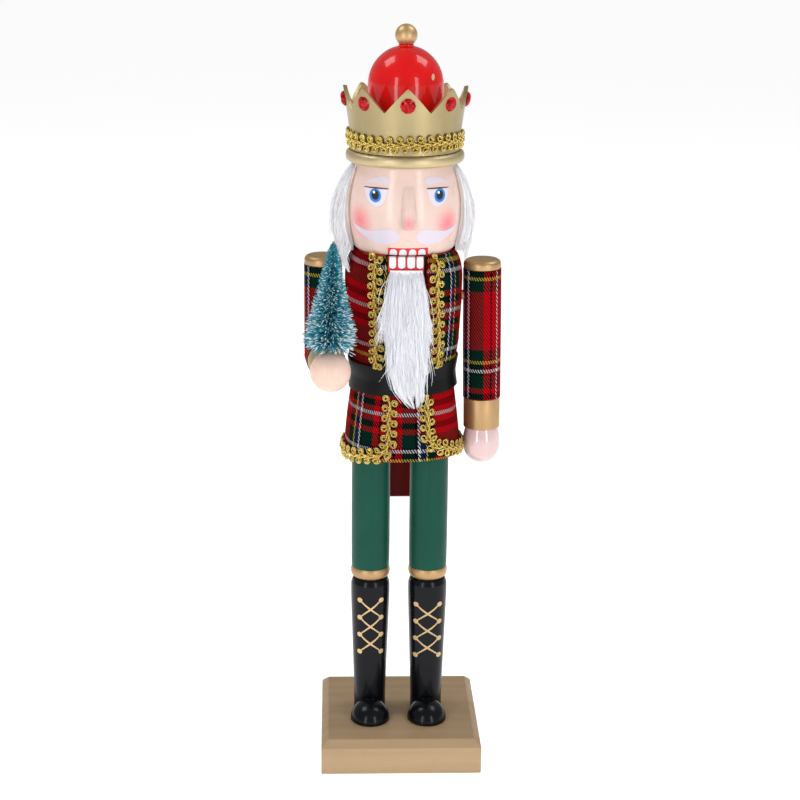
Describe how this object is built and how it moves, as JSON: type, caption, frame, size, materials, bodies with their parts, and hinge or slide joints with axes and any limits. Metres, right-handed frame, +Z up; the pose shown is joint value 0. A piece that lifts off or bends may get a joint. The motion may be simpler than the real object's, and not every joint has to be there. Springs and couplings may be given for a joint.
{
  "type": "nutcracker figure",
  "caption": "Turned wooden nutcracker king in a tartan coat and gold crown, holding a small tree, with a jaw worked by a lever behind.",
  "frame": {"origin": "centre of the base's underside", "axes": "+Z up, the figure faces -Y, its left side is +X"},
  "size_m": [0.1007, 0.1005, 0.38],
  "materials": {
    "base_paint": "matte gold-brown metallic paint on wood",
    "black_gloss": "turned wood in gloss black lacquer",
    "gold_paint": "satin bronze-gold paint on turned wood",
    "crown_gold": "satin champagne-gold paint on turned wood",
    "green_satin": "turned wood in satin green paint",
    "bare_wood": "bare turned wood",
    "tartan": "woven tartan in a 2/2 twill",
    "belt_satin": "black satin ribbon",
    "gold_braid": "metallic gold gimp braid",
    "lever_paint": "dark red satin paint on wood",
    "steel": "plain steel pin",
    "tree_wire": "twisted steel wire",
    "white_fur": "long white synthetic fur",
    "skin_paint": "satin skin-coloured paint on turned wood",
    "hand_gloss": "pale pink gloss paint on turned wood",
    "hand_satin": "pale beige satin paint on turned wood",
    "red_gloss": "gloss red lacquer on turned wood",
    "gem_red": "faceted translucent red acrylic",
    "tree_bristle": "teal bottle-brush bristle with white flocked tips"
  },
  "bodies": {
    "figure": {"base_block": "base_paint", "beard_fall": "white_fur", "belt_ribbon": "belt_satin", "boot_shaft_left": "black_gloss", "boot_shaft_right": "black_gloss", "boot_toe_left": "black_gloss", "boot_toe_right": "black_gloss", "chest_braid_left": "gold_braid", "chest_braid_right": "gold_braid", "coat_chest": "tartan", "coat_skirt": "tartan", "crown_braid": "gold_braid", "crown_dome": "red_gloss", "crown_finial": "gold_paint", "crown_gem_1": "gem_red", "crown_gem_2": "gem_red", "crown_gem_3": "gem_red", "crown_gem_4": "gem_red", "crown_gem_5": "gem_red", "crown_gem_6": "gem_red", "crown_gem_7": "gem_red", "crown_gem_8": "gem_red", "crown_ring": "crown_gold", "crown_wall": "crown_gold", "hair_wig": "white_fur", "head_block": "skin_paint", "head_dowel_left": "bare_wood", "head_dowel_right": "bare_wood", "jaw_pivot_pin": "steel", "knee_ring_left": "gold_paint", "knee_ring_right": "gold_paint", "left_arm_core": "gold_paint", "left_arm_dowel": "bare_wood", "left_hand": "hand_gloss", "left_sleeve": "tartan", "leg_dowel_left": "bare_wood", "leg_dowel_right": "bare_wood", "nose_block": "skin_paint", "right_arm_dowel": "bare_wood", "right_fore_sleeve": "tartan", "right_forearm_core": "gold_paint", "right_hand": "hand_satin", "right_upper_arm_core": "gold_paint", "right_upper_sleeve": "tartan", "skirt_braid_left": "gold_braid", "skirt_braid_right": "gold_braid", "torso_core": "bare_wood", "tree_bristles": "tree_bristle", "tree_trunk": "tree_wire", "trouser_leg_left": "green_satin", "trouser_leg_right": "green_satin"},
    "jaw": {"jaw_lever": "lever_paint", "beard_root": "white_fur"}
  },
  "joints": [
    {"name": "jaw_hinge", "type": "hinge", "parent": "figure", "child": "jaw", "pos_m": [0, 0.004, 0.256], "axis": [1, 0, 0], "range_deg": [0, 18]}
  ]
}
